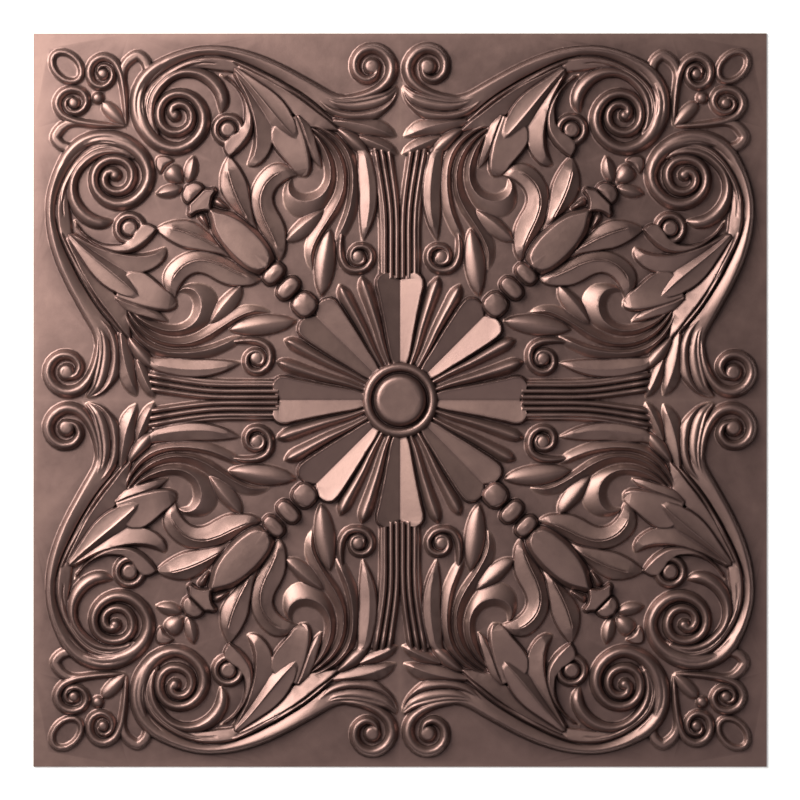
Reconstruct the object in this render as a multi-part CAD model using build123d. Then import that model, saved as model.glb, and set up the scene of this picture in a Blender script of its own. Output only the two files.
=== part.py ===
from build123d import *
import math
import os

# Formed ceiling tile: one thin sheet, its face drawn up into acanthus scrolls
# round a central rosette, its back hollow behind the main raised forms.
# Millimetres. Z runs out of the face, Y is the top of the pattern, and the
# origin is the middle of the flat back.
# The plan is drawn for the eighth between the Y axis and the diagonal, and
# mirrored from there. Every form stands clear of its neighbours, in as few
# faces as show its shape. Forms too narrow for the sheet to follow are filled.

# Driving dimensions
side = 603.0
sheet = 0.9
half = side / 2

# Heights of the relief above the flat of the sheet
boss_height = 9.0
ring_height = 5.5
petal_spine = 1.6
petal_rise = 0.2
rib_height = 6.0
bead_height = 8.0
baluster_height = 9.5
collar_height = 7.6
cap_height = 6.5
flower_height = 4.5
reed_height = 4.2
leaf_height = 6.0
bud_height = 5.4
band_height = 6.6
small_scroll_height = 5.4
corner_height = 4.2

# Rosette
boss_radius = 21.0
boss_draft = 25.0
ring_inner = 23.5
ring_outer = 31.0
petal_base = 33.0
petal_notch = 98.6
petal_wall = 1.1
slanted_petal = 0.95
rib_shoulder = 0.75

# Slopes of the flat-topped forms: how far the top's edge stands inside the foot
bead_lean = 2.4
belly_lean = 4.0
collar_lean = 1.4
cap_lean = 1.6
flower_lean = 2.2
button_lean = 3.4

# Share of the sweep under the rim that the lower of its two bends takes
foot_bend_share = 0.32

# How far a faceted band runs before its next corner: millimetres and radians
longest_cut = 27.0
widest_turn = 0.8

# The three planes that carry the eighth all the way round
diagonal = Plane(origin=(0, 0, 0), x_dir=(1, 1, 0), z_dir=(1, -1, 0))
whole_turn = (diagonal, Plane.YZ, Plane.XZ)


def flat(points):
    """Flat face inside a closed outline."""
    return Face(Wire(Polyline(*points, close=True)))


def facets(*corners):
    """One flat triangle on three corners, or two on four."""
    if len(corners) == 3:
        return [flat(corners)]
    one, other, far, back = corners
    return [flat((one, other, far)), flat((one, far, back))]


def strips(rows):
    """Facets between neighbouring rows of points that share both end points."""
    faces = []
    for low, high in zip(rows, rows[1:]):
        for i in range(len(low) - 1):
            corners = [low[i], low[i + 1]]
            if i + 1 < len(low) - 1:
                corners.append(high[i + 1])
            if i > 0:
                corners.append(high[i])
            faces += facets(*corners)
    return faces


def faceted(rows):
    """A closed form of facets on rows of points that share both ends."""
    outline = rows[0] + rows[-1][-2:0:-1]
    return Solid(Shell([flat(outline)] + strips(rows)))


def smooth_edge(points):
    """One curve through three or four points, the middle ones a half or a third along."""
    if len(points) == 3:
        start, middle, end = points
        return Edge.make_bezier(start, middle * 2 - (start + end) * 0.5, end)
    start, one, other, end = points
    early = (start * -5 + one * 18 - other * 9 + end * 2) * (1 / 6)
    late = (start * 2 - one * 9 + other * 18 - end * 5) * (1 / 6)
    return Edge.make_bezier(start, early, late, end)


def leaf(base, tip, left, crest, right, height, cuts=3):
    """A pointed form with one crest between its two edges, cut into so many facets."""
    rows = []
    for inner, rise in ((left, 0), (crest, height), (right, 0)):
        points = [Vector(*base, sheet)] + [Vector(x, y, sheet + rise) for x, y in inner]
        points.append(Vector(*tip, sheet))
        if len(inner) < 3:
            edge = smooth_edge(points)
            points = [edge @ (i / cuts) for i in range(cuts + 1)]
        rows.append(points)
    return faceted(rows)


def mound(points, height, lean):
    """A flat-topped form with sloping walls on a counter-clockwise outline."""
    low = [Vector(x, y, sheet) for x, y in points]
    high = []
    for i, corner in enumerate(low):
        along = low[(i + 1) % len(low)] - low[i - 1]
        inward = Vector(-along.Y, along.X).normalized() * lean
        high.append(corner + inward + Vector(0, 0, height))
    walls = []
    for i in range(len(low)):
        walls += facets(low[i - 1], low[i], high[i], high[i - 1])
    return Solid(Shell([flat(low), flat(high)] + walls))


def eighth_turns(ahead, aside):
    """Radii of two eighth turns that together go so far ahead and so far aside."""
    late = math.sin(math.radians(45))
    early = 1 - late
    spread = late**2 - early**2
    return (late * ahead - early * aside) / spread, (late * aside - early * ahead) / spread


def roll_arcs(extremes, upright):
    """Tangent arcs through the extreme points of a scroll's turns, in order."""
    arcs = []
    for first, last in zip(extremes, extremes[1:]):
        rise = Vector(0, last[1] - first[1])
        run = Vector(last[0] - first[0], 0)
        along, across = (rise, run) if upright else (run, rise)
        bend = math.copysign(45, along.cross(across).Z)
        point = first
        for radius in eighth_turns(along.length, across.length):
            arc = JernArc(start=point, tangent=along, radius=radius, arc_size=bend)
            arcs.append(arc)
            point = arc @ 1
            along = arc % 1
        upright = not upright
    return arcs


def stations(arcs):
    """Points and directions along a run of arcs, an eighth turn or one cut apart."""
    marks = []
    for arc in arcs:
        cuts = math.ceil(max(arc.length / longest_cut, arc.length / arc.radius / widest_turn))
        marks += [(arc @ (i / cuts), arc % (i / cuts)) for i in range(cuts)]
    return marks + [(arcs[-1] @ 1, arcs[-1] % 1)]


def turned_back(marks):
    return [(point, way * -1) for point, way in reversed(marks)]


def band(start, marks, widths, end, height):
    """A faceted band of two slopes along its stations, pointed at both ends."""
    left, crest, right = ([Vector(*start, sheet)] for _ in range(3))
    for i, (point, way) in enumerate(marks):
        place = i / (len(marks) - 1) * (len(widths) - 1)
        k = min(int(place), len(widths) - 2)
        width = widths[k] + (widths[k + 1] - widths[k]) * (place - k)
        aside = Vector(-way.Y, way.X) * (width / 2)
        level = Vector(point.X, point.Y, sheet)
        left.append(level + aside)
        crest.append(level + Vector(0, 0, height))
        right.append(level - aside)
    for row in (left, crest, right):
        row.append(Vector(*end, sheet))
    return faceted([left, crest, right])


def six_corners(centre, radius):
    corners = [Vector(radius, 0).rotate(Axis.Z, 60 * k) for k in range(6)]
    return [(centre[0] + corner.X, centre[1] + corner.Y) for corner in corners]


def eye(centre, radius, height):
    """Small six-sided point in the middle of a scroll."""
    low = [Vector(x, y, sheet) for x, y in six_corners(centre, radius)]
    top = Vector(*centre, sheet + height)
    return Solid(Shell([flat(low)] + [flat((low[k - 1], low[k], top)) for k in range(6)]))


def boss():
    """Flat-topped disc inside a ring, turned about Z."""
    disc = extrude(Plane.XY.offset(sheet) * Circle(boss_radius), boss_height, taper=boss_draft).solid()
    middle = (ring_outer + ring_inner) / 2
    corners = [(ring_inner, sheet), (ring_outer, sheet), (middle, sheet + ring_height)]
    section = make_face(Plane.XZ * Polyline(*corners, close=True))
    ring = revolve(section, Axis.Z).solid()
    return [disc, ring]


def wide_petal(length):
    """Wide petal on the Y axis: two flat facets that rise from a spine to the rim."""
    rim_plan = [(6.8, 38), (18.6, 91), (17.6, 101), (9, 103.8), (3, 100.8)]
    foot_plan = [(7.9, 37), (19.8, 91), (18.6, 102), (9.2, 105), (2.9, 102.3)]
    base = Vector(0, petal_base, sheet)
    notch = Vector(0, petal_notch * length, sheet + petal_spine)
    tip = Vector(0, petal_notch * length + petal_wall, sheet)
    feet = []
    faces = []
    for way in (-1, 1):
        foot = [Vector(way * x, y * length, sheet) for x, y in foot_plan]
        rim = []
        for x, y in rim_plan:
            rise = petal_rise * x + petal_spine * y / petal_notch
            rim.append(Vector(way * x, y * length, sheet + rise))
        faces += [flat((base, rim[0], notch)), flat((base, foot[0], rim[0]))]
        for i in range(len(rim) - 1):
            faces.append(flat((rim[i], rim[i + 1], notch)))
            faces += facets(foot[i], foot[i + 1], rim[i + 1], rim[i])
        faces += facets(foot[-1], tip, notch, rim[-1])
        feet.append(foot)
    floor = flat([base] + feet[1] + [tip] + feet[0][::-1])
    return Solid(Shell([floor] + faces))


def rib(base, tip, left, crest, right):
    """Straight rib between two wide petals, widest near its tip."""
    rows = []
    for points, rise in ((left, 0), (crest, rib_height), (right, 0)):
        row = [Vector(*base, sheet)]
        for (x, y), share in zip(points, (rib_shoulder, 1)):
            row.append(Vector(x, y, sheet + rise * share))
        rows.append(row + [Vector(*tip, sheet)])
    return faceted(rows)


def ribs():
    """Two ribs in each gap between an upright petal and a slanted one."""
    steep = rib((8.4, 32.6), (32.6, 103), [(17.4, 66), (25.4, 93)],
                [(21, 65), (29.6, 92)], [(24, 64), (35, 90)])
    slanted = rib((14.6, 30.2), (50, 96.6), [(27.4, 61), (39.4, 87)],
                  [(31, 60), (44.4, 86)], [(34.4, 59), (49.6, 83)])
    return [steep, slanted]


def beads():
    """Three eight-sided beads between the rosette and the baluster."""
    forms = []
    turn = math.sqrt(0.5)
    for centre, across, along in ((79.4, 11, 9.4), (92.4, 11.5, 6.2), (103.6, 11, 5.6)):
        bevel = along / 2
        ring = [(across, -along + bevel), (across, along - bevel), (across - bevel, along),
                (-across + bevel, along)]
        ring += [(-x, -y) for x, y in ring]
        points = [(centre + turn * (x + y), centre + turn * (y - x)) for x, y in ring]
        forms.append(mound(points, bead_height, bead_lean))
    return forms


def doubled(points):
    """The points and their mirror images in the diagonal, as one outline."""
    return points + [(y, x) for x, y in reversed(points) if abs(x - y) > 1e-6]


def baluster():
    """Long belly, flared collar and cap, standing along the diagonal."""
    belly = doubled([(110.6, 110.6), (119, 104.8), (129, 108.6), (143, 119), (151.6, 132),
                     (157, 146), (157.6, 157.6)])
    collar = doubled([(161.4, 161.4), (165, 158.6), (175.6, 152), (173.6, 164), (168.8, 168.8)])
    cap = doubled([(171.2, 171.2), (174.4, 163.6), (180, 166), (178, 174), (176.4, 176.4)])
    return [mound(belly, baluster_height, belly_lean), mound(collar, collar_height, collar_lean),
            mound(cap, cap_height, cap_lean)]


def flower_middle():
    """Four-cornered middle of the small flower beyond the cap."""
    outline = doubled([(181.6, 181.6), (192.6, 182), (193.4, 189), (190.8, 190.8)])
    return mound(outline, flower_height, flower_lean)


def flower_petal():
    """Side petal of the small flower beyond the cap."""
    return leaf((168.6, 201), (174, 181), [(165.6, 190)], [(171.4, 190)], [(177.4, 191)], flower_height)


def reeds():
    """Three reeds beside the axis, fanned out above a gap of bare sheet."""
    forms = []
    wide = 2.15
    for x, spread in ((2.6, 8.0), (7.6, 8.6), (12.6, 9.0)):
        lines = []
        for shift in (-wide, 0, wide):
            lines.append([(x + shift, 141), (x + 0.28 * spread + shift, 173)])
        forms.append(leaf((x, 107), (x + spread, 202), *lines, reed_height))
    return forms


def buds():
    """Short pointed forms beside the beads, over the reeds and between the leaves."""
    shapes = [
        # between the hook and the beads
        ((57, 140), (65, 86), [(53.2, 114)], [(60.8, 113)], [(68, 112)], bud_height),
        ((65, 153.4), (92.6, 131.6), [(81.6, 149.4)], [(78.6, 142)], [(74.8, 134.8)], bud_height),
        # over the reeds
        ((53, 228.6), (3.6, 217), [(27, 229.6)], [(27, 225)], [(29, 219)], leaf_height),
        ((52, 222.6), (27, 204), [(37, 219)], [(38, 213.6)], [(42, 211)], leaf_height),
        ((30, 215), (2, 202.6), [(14.6, 214)], [(16, 209.6)], [(17.6, 205)], leaf_height),
        # in the gaps of the fan
        ((102.6, 219.6), (79.6, 185.6), [(83.6, 208)], [(86, 204.6)], [(95, 199.6)], leaf_height),
        ((87.6, 235.6), (64.8, 191.6), [(69.6, 216)], [(73.6, 214.6)], [(77.8, 213)], leaf_height),
    ]
    return [leaf(*shape) for shape in shapes]


def leaves():
    """Long leaves that fan out from the band towards the reeds and the beads."""
    shapes = [
        # sweeping down beside the reeds
        ((35, 203), (28.6, 131.4), [(20.6, 166)], [(25.6, 167)], [(32.4, 168)], leaf_height),
        ((60, 220), (52.6, 130.6), [(38.4, 197), (35.6, 160)], [(41.6, 196), (41, 161)],
         [(44.4, 194), (44, 162)], leaf_height, 4),
        ((69, 222.6), (72.4, 107), [(44.2, 184), (56.6, 146)], [(46.8, 184), (60, 146)],
         [(51, 184), (66.4, 147)], leaf_height, 4),
        ((68.6, 217), (88.8, 182.8), [(53.6, 192), (62.6, 164), (79, 152), (94, 163)],
         [(57.6, 191), (65.4, 168.6), (79, 161), (89.6, 168.6)],
         [(62, 190), (67.6, 175.6), (78, 169.6), (86, 173)], leaf_height),
        # fan under the band
        ((53.6, 223), (121.6, 266.4), [(73.6, 241), (98, 256.4)], [(76, 237.6), (101.6, 254.6)],
         [(79, 230), (104, 250)], leaf_height),
        ((138, 268), (82.4, 210.6), [(119, 260), (95.6, 239)], [(121, 257.6), (100, 235)],
         [(123.6, 253), (103, 228)], leaf_height, 4),
        ((134, 258), (124.4, 193.4), [(115, 235), (105, 209)], [(117.6, 234), (114, 208)],
         [(120.4, 233), (119, 207)], leaf_height, 4),
        ((145.6, 266.6), (140.6, 200.8), [(125.4, 241), (127, 214)], [(127, 241), (129, 216)],
         [(128.8, 241), (131.6, 218)], leaf_height, 4),
        # springing from the baluster's foot
        ((117.6, 143.6), (140.4, 200), [(122.8, 163), (128, 183)], [(129.6, 160), (139.6, 183)],
         [(135.6, 160), (148, 182)], leaf_height, 4),
        ((98.6, 116.6), (84.4, 185), [(92.8, 135), (99.6, 155), (103.4, 172), (98, 182)],
         [(104, 137.6), (112, 159), (111, 175), (102, 186)],
         [(110.6, 138.6), (118, 160), (115.6, 178), (104, 190)], leaf_height),
        # horn inside the great volute
        ((203.6, 245), (146.6, 236.6), [(196, 259), (170, 266), (151, 262), (143, 250)],
         [(193.6, 257.6), (170.4, 263.4), (154, 258.6), (146.4, 249)],
         [(190.6, 256), (170.8, 259.4), (157, 255.4), (149.6, 248)], band_height),
    ]
    return [leaf(*shape) for shape in shapes]


def great_scroll():
    """One long band: a side scroll, a sweep under the rim and the great volute."""
    low, high = (33, 241), (165, 281.5)
    rise = 2 * math.degrees(math.atan2(high[1] - low[1], high[0] - low[0]))
    reach = (high[0] - low[0]) / math.sin(math.radians(rise))
    low_radius = foot_bend_share * reach
    side_roll = [low, (6.5, 268), (22, 289), (37, 274.5), (27, 263.5)]
    volute = [high, (214.5, 240), (185, 206.8), (161, 230), (180, 251.8), (197.8, 233), (183, 220),
              (171, 231)]
    foot_bend = JernArc(start=low, tangent=(1, 0), radius=low_radius, arc_size=rise)
    back_bend = JernArc(start=high, tangent=(-1, 0), radius=reach - low_radius, arc_size=rise)
    marks = turned_back(stations(roll_arcs(side_roll, False)))[:-1] + stations([foot_bend])[:-1]
    marks += turned_back(stations([back_bend]))[:-1] + stations(roll_arcs(volute, False))
    widths = [6, 8, 9, 10, 12, 15, 15, 14, 15, 15, 14, 12, 10.5, 9.4, 8.6, 8, 7.4, 6.6]
    return band((20, 266.4), marks, widths, (173, 238), band_height)


def small_scrolls():
    """The hook beside the reeds, the corner's curl and arch, the button and the eyes."""
    hook_turns = roll_arcs([(48.3, 119), (36, 106.7), (23.2, 117), (31, 126), (39.5, 119)], True)
    hook = band((46, 136.6), stations(hook_turns), [6, 7, 7, 6, 5], (36.6, 112.8), small_scroll_height)
    curl_turns = roll_arcs([(227.5, 260), (244, 282), (256, 268), (245, 257.5), (237.2, 267)], True)
    curl = band((225, 231), stations(curl_turns), [6.4, 7.4, 7.4, 6.6, 5.4], (240.6, 270.8),
                small_scroll_height)
    arch_bend = JernArc(start=(209.4, 277), tangent=(0, 1), radius=7.4, arc_size=-180)
    arch = band((210, 272.6), stations([arch_bend]), [5, 6.4, 5], (222.4, 270), corner_height)
    button = mound(six_corners((143.6, 223.8), 9.6), small_scroll_height, button_lean)
    eyes = [eye((24, 274.6), 5.6, band_height), eye((182.4, 234.6), 6.6, band_height),
            eye((32.6, 118), 3.6, small_scroll_height), eye((245, 268), 3.8, small_scroll_height)]
    return [hook, curl, arch, button] + eyes


def corner_bud():
    """Bud on the diagonal that points into the corner."""
    return leaf((226, 226), (244.5, 244.5), [(231, 238.6)], [(235.6, 235.6)], [(238.6, 231)], corner_height)


def oval_ring():
    """Twelve-sided oval ring in the corner: one crest between two slopes."""
    rings = []
    for long_way, short_way, rise in ((17, 13, 0), (13.4, 9.6, corner_height), (9.8, 6, 0)):
        ring = []
        for k in range(12):
            x = long_way * math.cos(math.radians(30 * k))
            y = short_way * math.sin(math.radians(30 * k))
            turn = math.sqrt(0.5)
            ring.append(Vector(274.6 + turn * (x - y), 274.6 + turn * (x + y), sheet + rise))
        rings.append(ring)
    outer, _, inner = (Wire(Polyline(*ring, close=True)) for ring in rings)
    faces = [Face(outer, [inner])]
    for low, high in zip(rings, rings[1:]):
        for k in range(12):
            faces += facets(low[k - 1], low[k], high[k], high[k - 1])
    return Solid(Shell(faces))


def mirrored(forms, planes):
    """The forms and their mirror images in each plane in turn."""
    for plane in planes:
        forms = forms + [form.mirror(plane) for form in forms]
    return forms


def main_forms():
    """The forms the sheet is hollow behind."""
    eighths = leaves() + [great_scroll()]
    quarters = beads() + baluster() + [oval_ring()]
    petals = [wide_petal((1, slanted_petal)[i % 2]).rotate(Axis.Z, 45 * i) for i in range(8)]
    return boss() + petals + mirrored(eighths, whole_turn) + mirrored(quarters, whole_turn[1:])


def small_forms():
    """The forms too narrow for the sheet to follow on its back."""
    eighths = ribs() + reeds() + buds() + small_scrolls() + [flower_petal()]
    quarters = [flower_middle(), corner_bud()]
    return mirrored(eighths, whole_turn) + mirrored(quarters, whole_turn[1:])


def formed_skin(forms):
    """The sheet's face: the flat with each form's walls in place of its floor."""
    floors = []
    walls = []
    for form in forms:
        for face in form.faces():
            on_sheet = face.geom_type == GeomType.PLANE and abs(face.center().Z - sheet) < 1e-6
            (floors if on_sheet else walls).append(face)
    square = Face(Wire(Polyline((-half, -half, sheet), (half, -half, sheet), (half, half, sheet),
                                (-half, half, sheet), close=True)))
    return square.cut(*floors).faces() + walls


def rim():
    """Four narrow edges of the sheet."""
    corners = [(-half, -half), (half, -half), (half, half), (-half, half), (-half, -half)]
    faces = []
    for one, other in zip(corners, corners[1:]):
        faces.append(flat([(*one, 0), (*other, 0), (*other, sheet), (*one, sheet)]))
    return faces


def formed_sheet():
    """Face, back and edges sewn into one thin solid."""
    main = main_forms()
    face = formed_skin(main + small_forms())
    back = [part.moved(Location((0, 0, -sheet))) for part in formed_skin(main)]
    return Solid(Shell(face + back + rim()))


os.makedirs("parts", exist_ok=True)
tile = formed_sheet()
export_step(tile, "parts/tile.step")
print("solids", len(tile.solids()), "faces", len(tile.faces()), "volume", round(tile.volume, 1))
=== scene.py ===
import math

import bmesh
import bpy
import numpy as np
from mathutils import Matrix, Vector


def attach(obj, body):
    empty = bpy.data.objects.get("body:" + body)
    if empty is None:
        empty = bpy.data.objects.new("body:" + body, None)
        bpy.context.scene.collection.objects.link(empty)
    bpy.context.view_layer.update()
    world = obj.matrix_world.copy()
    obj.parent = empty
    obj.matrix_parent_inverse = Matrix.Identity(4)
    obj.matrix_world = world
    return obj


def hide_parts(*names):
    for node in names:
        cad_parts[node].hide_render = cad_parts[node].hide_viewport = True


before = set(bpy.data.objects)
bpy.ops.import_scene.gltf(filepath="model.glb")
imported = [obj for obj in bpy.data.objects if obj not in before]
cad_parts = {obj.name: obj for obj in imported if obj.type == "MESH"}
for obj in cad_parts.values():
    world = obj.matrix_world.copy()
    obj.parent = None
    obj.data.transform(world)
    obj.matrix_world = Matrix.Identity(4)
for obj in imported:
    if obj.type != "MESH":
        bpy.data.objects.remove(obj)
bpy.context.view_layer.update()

# The tile is one thin sheet drawn over a carved mould. The carving is laid out
# here form by form, in millimetres from the tile's middle, for the eighth
# between the Y axis and the diagonal. A fine blank is pressed onto it, and the
# eighth is mirrored into the whole tile.

METRES_IN_A_MM = 0.001
MM_IN_A_METRE = 1000
DIAGONAL = math.sqrt(0.5)

# The tile: half its edge, its sheet's thickness and the tallest relief above the sheet
HALF = 301.5
SHEET = 0.9
TALLEST = 9.5

# The mould: how far its forms reach below the flat, its table, and stations along its forms
FLOOR_LEVEL = -0.4
TABLE_SIZE = 900
LEAF_STATIONS = 56
PLATE_STATIONS = 64
RING_STATIONS = 96
LINE_STATIONS = 60
STATIONS_PER_POINT = 14

# The blank: cells along half an edge, its height before it is pressed, triangles in an eighth
CELLS = 750
CELL = HALF / CELLS
CLEARANCE = 20.0
FACE_TRIANGLES = 20400
BACK_TRIANGLES = 3200

# The pressing: how far it rounds what it meets, and the cove that it leaves at a form's foot
FIRST_ROUNDING = 0.32
LAST_ROUNDING = 0.22
FLARE_WIDTH = 1.5
FLARE_TALL = 0.6
FLARE_CURVE = 1.4
SHOULDER_REACH = 0.9
SHOULDER_GAIN = 0.55
DEEPEST_CUT = -0.12
HIGHEST_LIFT = 0.15
LINE_FADE = 0.08
FULL_LINE_AT = 1.5

# The shading: how far a facet's normals may bend, in radians, and which long facets stay level
FACET_BEND = 0.7
WIDEST_BEND = 0.7
LEVEL_FACING = 0.9998
LEVEL_SPAN = 4.0

# The painted light: how widely a hollow is felt for its painted shade, and the heights that count as a
# form's foot for its painted highlight
HOLLOW_REACH = 1.1
FOOT_HEIGHTS = (0.2, 0.8)
FOOT_ROUNDING = 0.2

# Near enough: to the eighth's far corner and to the rim, in mm, and point to point, in metres
CORNER_CATCH = 0.3
RIM_CATCH = 0.1
SAME_PLACE = 1e-6

mould_points = []
mould_faces = []


def flow(points, count):
    """A smooth run through the points, evenly spaced, of so many stations."""
    p = np.array(points, float)
    gap = np.maximum(np.linalg.norm(np.diff(p[:, :2], axis=0), axis=1), 1e-6)
    pace = np.diff(p, axis=0) / gap[:, None]
    slope = np.empty_like(p)
    slope[0], slope[-1] = pace[0], pace[-1]
    ahead, behind = gap[1:, None], gap[:-1, None]
    slope[1:-1] = (pace[:-1] * ahead + pace[1:] * behind) / (ahead + behind)
    reach = np.concatenate([[0], np.cumsum(gap)])
    s = np.linspace(0, reach[-1], count)
    i = np.clip(np.searchsorted(reach, s, side="right") - 1, 0, len(gap) - 1)
    g = gap[i][:, None]
    t = ((s - reach[i])[:, None]) / g
    return ((2 * t**3 - 3 * t**2 + 1) * p[i] + (t**3 - 2 * t**2 + t) * g * slope[i]
            + (3 * t**2 - 2 * t**3) * p[i + 1] + (t**3 - t**2) * g * slope[i + 1])


def add_rows(rows, closed=False):
    """Skins neighbouring rows of stations with quads and puts them in the mould."""
    rows = np.array(rows)
    count, stations = rows.shape[:2]
    start = len(mould_points)
    mould_points.extend(map(tuple, rows.reshape(-1, 3)))
    ends = stations if closed else stations - 1
    for r in range(count - 1):
        for s in range(ends):
            n = (s + 1) % stations
            a = start + r * stations
            b = a + stations
            mould_faces.append((a + s, a + n, b + n, b + s))


def with_height(plan, height):
    """The plan's points, each raised to its height."""
    return np.column_stack([plan, np.broadcast_to(height, len(plan))])


def leaf(left, crest, right, rise, wall=1.6, swell=0.45, bulge=(1.3, 1.3), run=0.7, steps=5):
    """A form with one crest between two edges, each edge standing on a low wall."""
    left, crest, right = (flow(line, LEAF_STATIONS) for line in (left, crest, right))
    t = np.linspace(0, 1, LEAF_STATIONS)
    if np.isscalar(rise):
        top = rise * np.maximum(np.sin(np.pi * t), 0) ** swell
    else:
        top = np.interp(t, np.linspace(0, 1, len(rise)), rise)
    if np.isscalar(wall):
        walls = [np.minimum(wall, 0.5 * top)] * 2
    else:
        walls = [np.minimum(side_wall, 0.9 * top) for side_wall in wall]
    rows = []
    for side, curve, edge in ((left, bulge[0], walls[0]), (right, bulge[1], walls[1])):
        away = side - crest
        away /= np.maximum(np.linalg.norm(away, axis=1), 1e-3)[:, None]
        half_rows = [with_height(side + away * run, FLOOR_LEVEL)]
        for k in range(steps + 1):
            f = k / steps
            ease = 1 - (1 - f) ** curve
            half_rows.append(with_height(side + (crest - side) * f, edge + (top - edge) * ease))
        rows += half_rows if side is left else half_rows[::-1]
    add_rows(rows)


def tube(path, crown=2.2, count=90, closed=False, rows=13):
    """A rounded band on a path of points, each with its width and its height."""
    path = list(path) + ([path[0]] if closed else [])
    line = flow(path, count)
    way = np.gradient(line[:, :2], axis=0)
    way /= np.maximum(np.linalg.norm(way, axis=1), 1e-6)[:, None]
    aside = np.column_stack([-way[:, 1], way[:, 0]])
    sheets = []
    for u in np.linspace(-1, 1, rows):
        plan = line[:, :2] + aside * (u * np.maximum(line[:, 2], 0.02) / 2)[:, None]
        height = FLOOR_LEVEL + (line[:, 3] - FLOOR_LEVEL) * (1 - abs(u) ** crown)
        sheets.append(with_height(plan, height))
    add_rows(sheets)


def dome(outline, tall, run=1.5, crown=0.5, edge=1.2):
    """A crowned form on a closed outline of its top."""
    ring = flow(list(outline) + [outline[0]], RING_STATIONS + 1)[:-1]
    way = np.roll(ring, -1, axis=0) - np.roll(ring, 1, axis=0)
    area = np.sum(ring[:, 0] * np.roll(ring[:, 1], -1) - np.roll(ring[:, 0], -1) * ring[:, 1])
    out = np.column_stack([way[:, 1], -way[:, 0]]) * np.sign(area)
    out /= np.maximum(np.linalg.norm(out, axis=1), 1e-6)[:, None]
    middle = ring.mean(axis=0)
    rows = [with_height(ring + out * run, FLOOR_LEVEL),
            with_height(ring + out * run * 0.4, tall * 0.62), with_height(ring, tall * 0.9),
            with_height(ring - out * edge * 0.5, tall * 0.98)]
    inner = ring - out * edge
    for f, extra in ((0.0, 0.0), (0.3, 0.45), (0.6, 0.8), (0.85, 0.97), (1.0, 1.0)):
        rows.append(with_height(inner + (middle - inner) * f, tall + crown * extra))
    add_rows(rows, closed=True)


def turned(profile, centre=(0, 0)):
    """A form turned about an upright line: its radii and heights from the middle out."""
    angles = np.linspace(0, 2 * math.pi, RING_STATIONS, endpoint=False)
    rows = []
    for radius, height in profile:
        x = centre[0] + radius * np.cos(angles)
        y = centre[1] + radius * np.sin(angles)
        rows.append(with_height(np.column_stack([x, y]), height))
    add_rows(rows, closed=True)


def plate(rim, spine, top, run=1.0):
    """Half of a wide petal: one flat facet that rises from its spine to its rim."""
    rim, spine = flow(rim, PLATE_STATIONS), flow(spine, PLATE_STATIONS)
    away = rim - spine
    away /= np.maximum(np.linalg.norm(away, axis=1), 0.5)[:, None]
    rows = [with_height(rim + away * run, FLOOR_LEVEL),
            with_height(rim + away * run * 0.3, top(rim) * 0.75),
            with_height(rim, top(rim))]
    for f in (0.25, 0.5, 0.75, 1.0):
        plan = rim + (spine - rim) * f
        rows.append(with_height(plan, top(plan)))
    add_rows(rows)


def swapped(points):
    """The same points mirrored in the diagonal."""
    return [(y, x) + tuple(rest) for x, y, *rest in points]


def rosette():
    turned([(0, 9.0), (14, 9.0), (16.6, 8.9), (18.4, 8.4), (19.8, 7.2), (20.8, 5.2), (21.6, 2.6),
            (22.2, 1.4), (23.2, 1.4), (23.8, 3.2), (24.8, 4.9), (26.2, 5.7), (27.8, 5.7), (29.4, 4.8),
            (30.6, 3.0), (31.4, 0.6), (32, -0.4)])
    facet_foot = 1.6
    facet_slope = 0.26
    rim = [(4, 27), (6.6, 33), (9.8, 48), (13, 65), (15.5, 77), (17.6, 87), (19.3, 94), (19, 98.5),
           (16, 102.7), (11, 104.2), (7, 103.3), (3.2, 101), (0, 98.6)]
    spine = [(0, 25), (0, 33), (0, 46), (0, 60), (0, 70), (0, 78), (0, 84), (0, 87), (0, 90), (0, 93),
             (0, 95.5), (0, 97.3), (0, 98.6)]
    plate(rim, spine, lambda p: facet_foot + facet_slope * np.abs(p[:, 0]))
    lean_rim = [(17, 24), (18.5, 27.5), (26, 40), (35, 55), (43, 67.5), (50.5, 78.5), (54, 82.3),
                (58, 83.6), (62.7, 82.5), (66.6, 79.3), (68.4, 75), (69, 72), (69, 69)]
    lean_spine = [(19, 19), (22, 22), (32, 32), (43, 43), (52, 52), (58, 58), (61, 61), (63, 63),
                  (65, 65), (66.5, 66.5), (67.7, 67.7), (68.4, 68.4), (69, 69)]
    plate(lean_rim, lean_spine,
          lambda p: facet_foot + facet_slope * np.abs(p[:, 1] - p[:, 0]) * DIAGONAL)
    tube([(8.1, 27.5, 4.6, 3.2), (12.7, 40, 6.4, 4.4), (18.5, 61, 9.2, 5.6), (24.5, 80, 11.4, 6.2),
          (27.8, 90, 12.4, 6.4), (29.6, 95, 11, 6.2), (30.8, 98.8, 6.5, 4.6), (31.6, 101.6, 0.6, 0.4)],
         crown=1.8)
    tube([(15, 27.4, 4.6, 3.2), (21.8, 40, 6.4, 4.4), (31, 59.4, 9.2, 5.6), (40, 76, 11.4, 6.2),
          (44.6, 84.4, 12.4, 6.4), (46.8, 88.8, 11, 6.2), (48.4, 92.4, 6.5, 4.6),
          (49.6, 95.2, 0.6, 0.4)], crown=1.8)


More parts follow.
